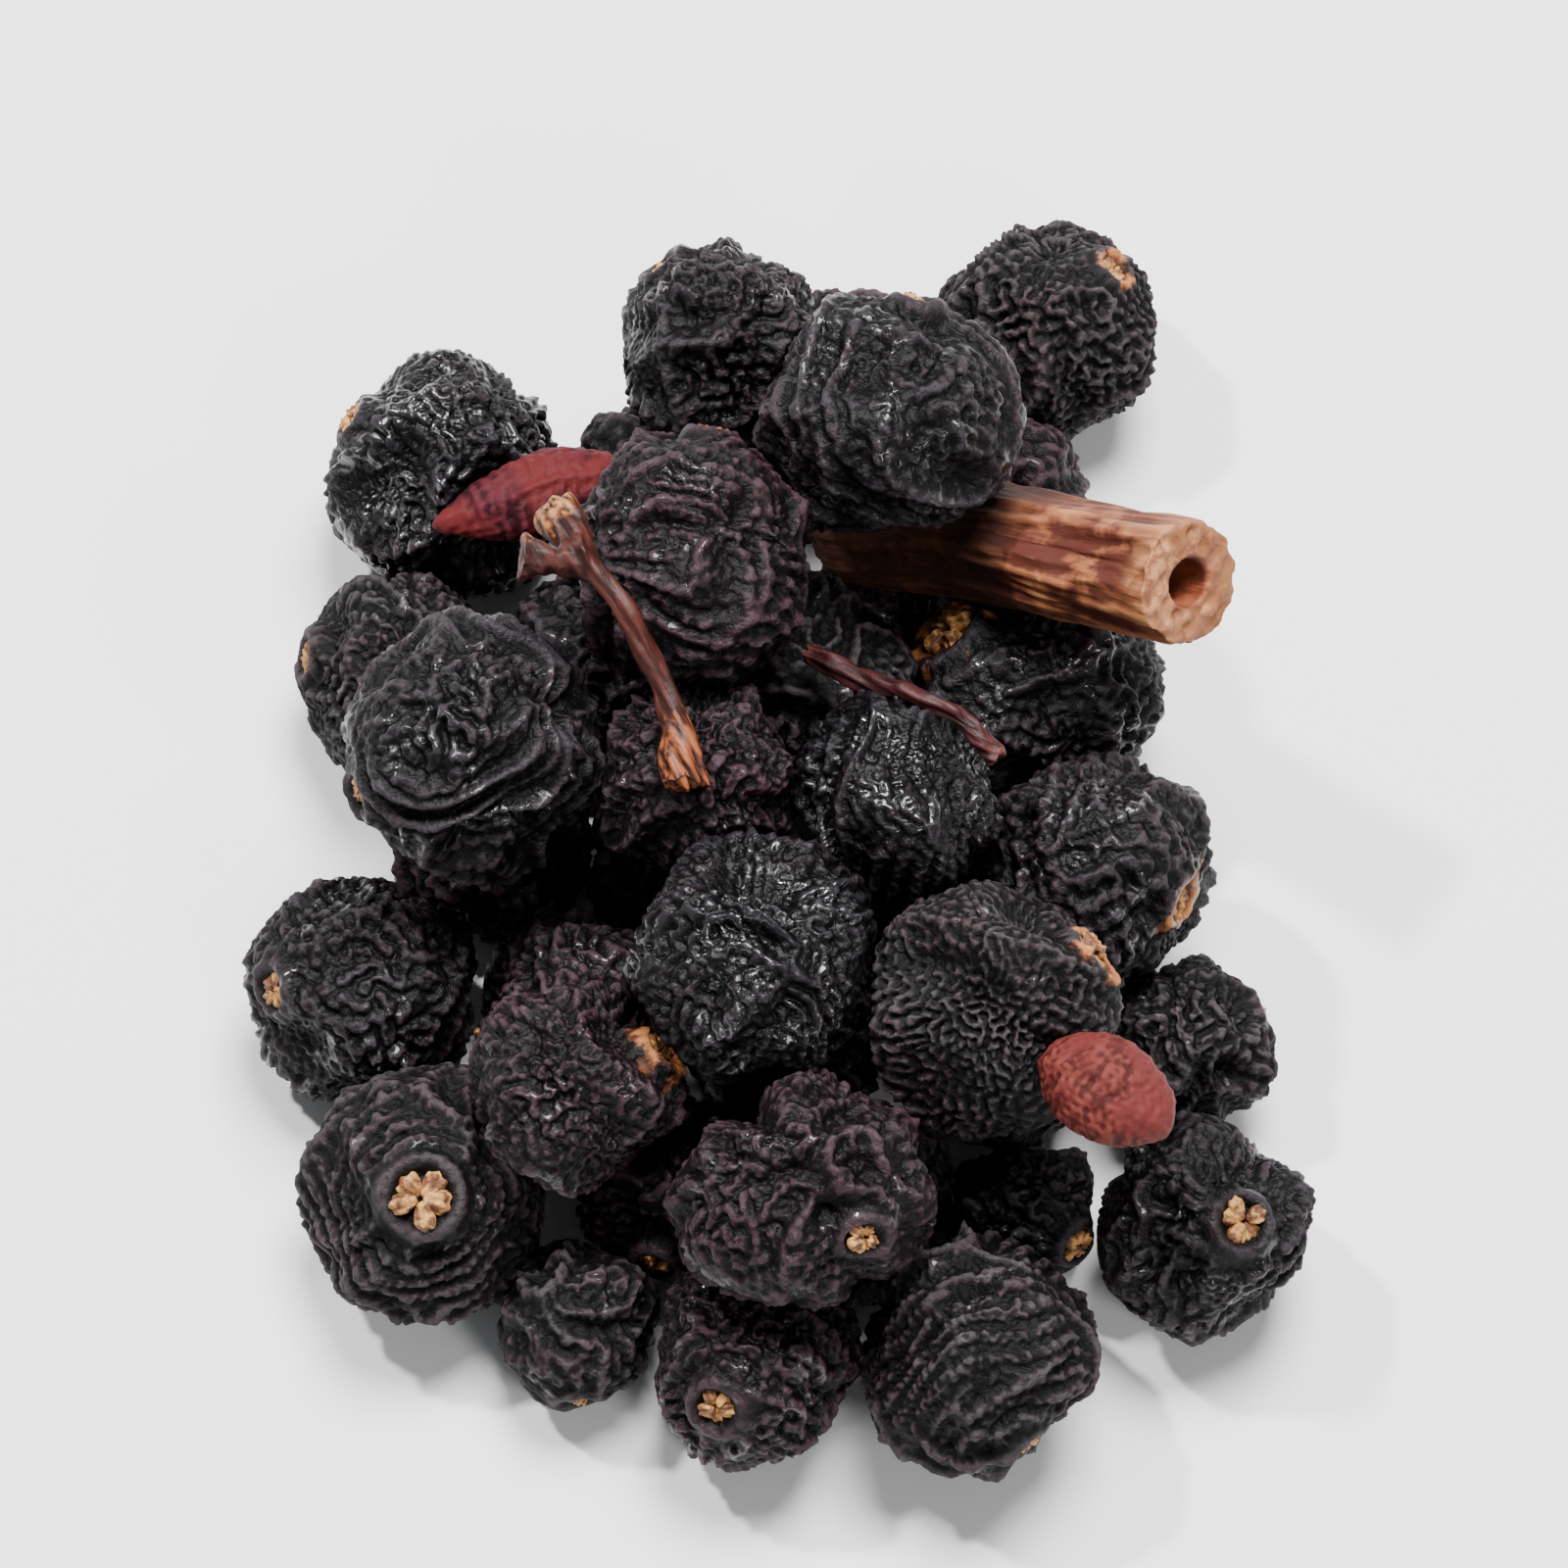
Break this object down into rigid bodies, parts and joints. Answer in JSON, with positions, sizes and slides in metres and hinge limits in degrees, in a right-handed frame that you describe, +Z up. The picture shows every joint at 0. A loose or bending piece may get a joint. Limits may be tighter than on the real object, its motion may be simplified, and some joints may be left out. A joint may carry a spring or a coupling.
{
  "type": "dried elderberry cluster",
  "caption": "Clump of dried, wrinkled black elderberries stuck together round a cut stub of stalk, with pedicels and bare seeds caught in it.",
  "frame": {"origin": "centre of the clump's bounding box, on the surface that it lies on", "axes": "+Z up from that surface, +Y along the clump's longest side, towards the end where the stalk lies"},
  "size_m": [0.0148, 0.0186, 0.0073],
  "materials": {
    "berry_skin": "wrinkled, satin to glossy",
    "stalk": "dry, fibrous",
    "pedicel": "dry, matte",
    "seed_coat": "finely wrinkled, matte"
  },
  "bodies": {
    "root": {"berry_1": "berry_skin", "berry_2": "berry_skin", "berry_3": "berry_skin", "berry_4": "berry_skin", "berry_5": "berry_skin", "berry_6": "berry_skin", "berry_7": "berry_skin", "berry_8": "berry_skin", "berry_9": "berry_skin", "berry_10": "berry_skin", "berry_11": "berry_skin", "berry_12": "berry_skin", "berry_13": "berry_skin", "berry_14": "berry_skin", "berry_15": "berry_skin", "berry_16": "berry_skin", "berry_17": "berry_skin", "berry_18": "berry_skin", "berry_19": "berry_skin", "berry_20": "berry_skin", "berry_21": "berry_skin", "under_berry_1": "berry_skin", "under_berry_2": "berry_skin", "under_berry_3": "berry_skin", "under_berry_4": "berry_skin", "under_berry_5": "berry_skin", "under_berry_6": "berry_skin", "under_berry_7": "berry_skin", "under_berry_8": "berry_skin", "under_berry_9": "berry_skin", "under_berry_10": "berry_skin", "under_berry_11": "berry_skin", "under_berry_12": "berry_skin", "under_berry_13": "berry_skin", "under_berry_14": "berry_skin", "under_berry_15": "berry_skin", "under_berry_16": "berry_skin", "stalk": "stalk", "forked_pedicel": "pedicel", "broken_pedicel": "pedicel", "seed": "seed_coat", "short_seed": "seed_coat"}
  },
  "joints": []
}
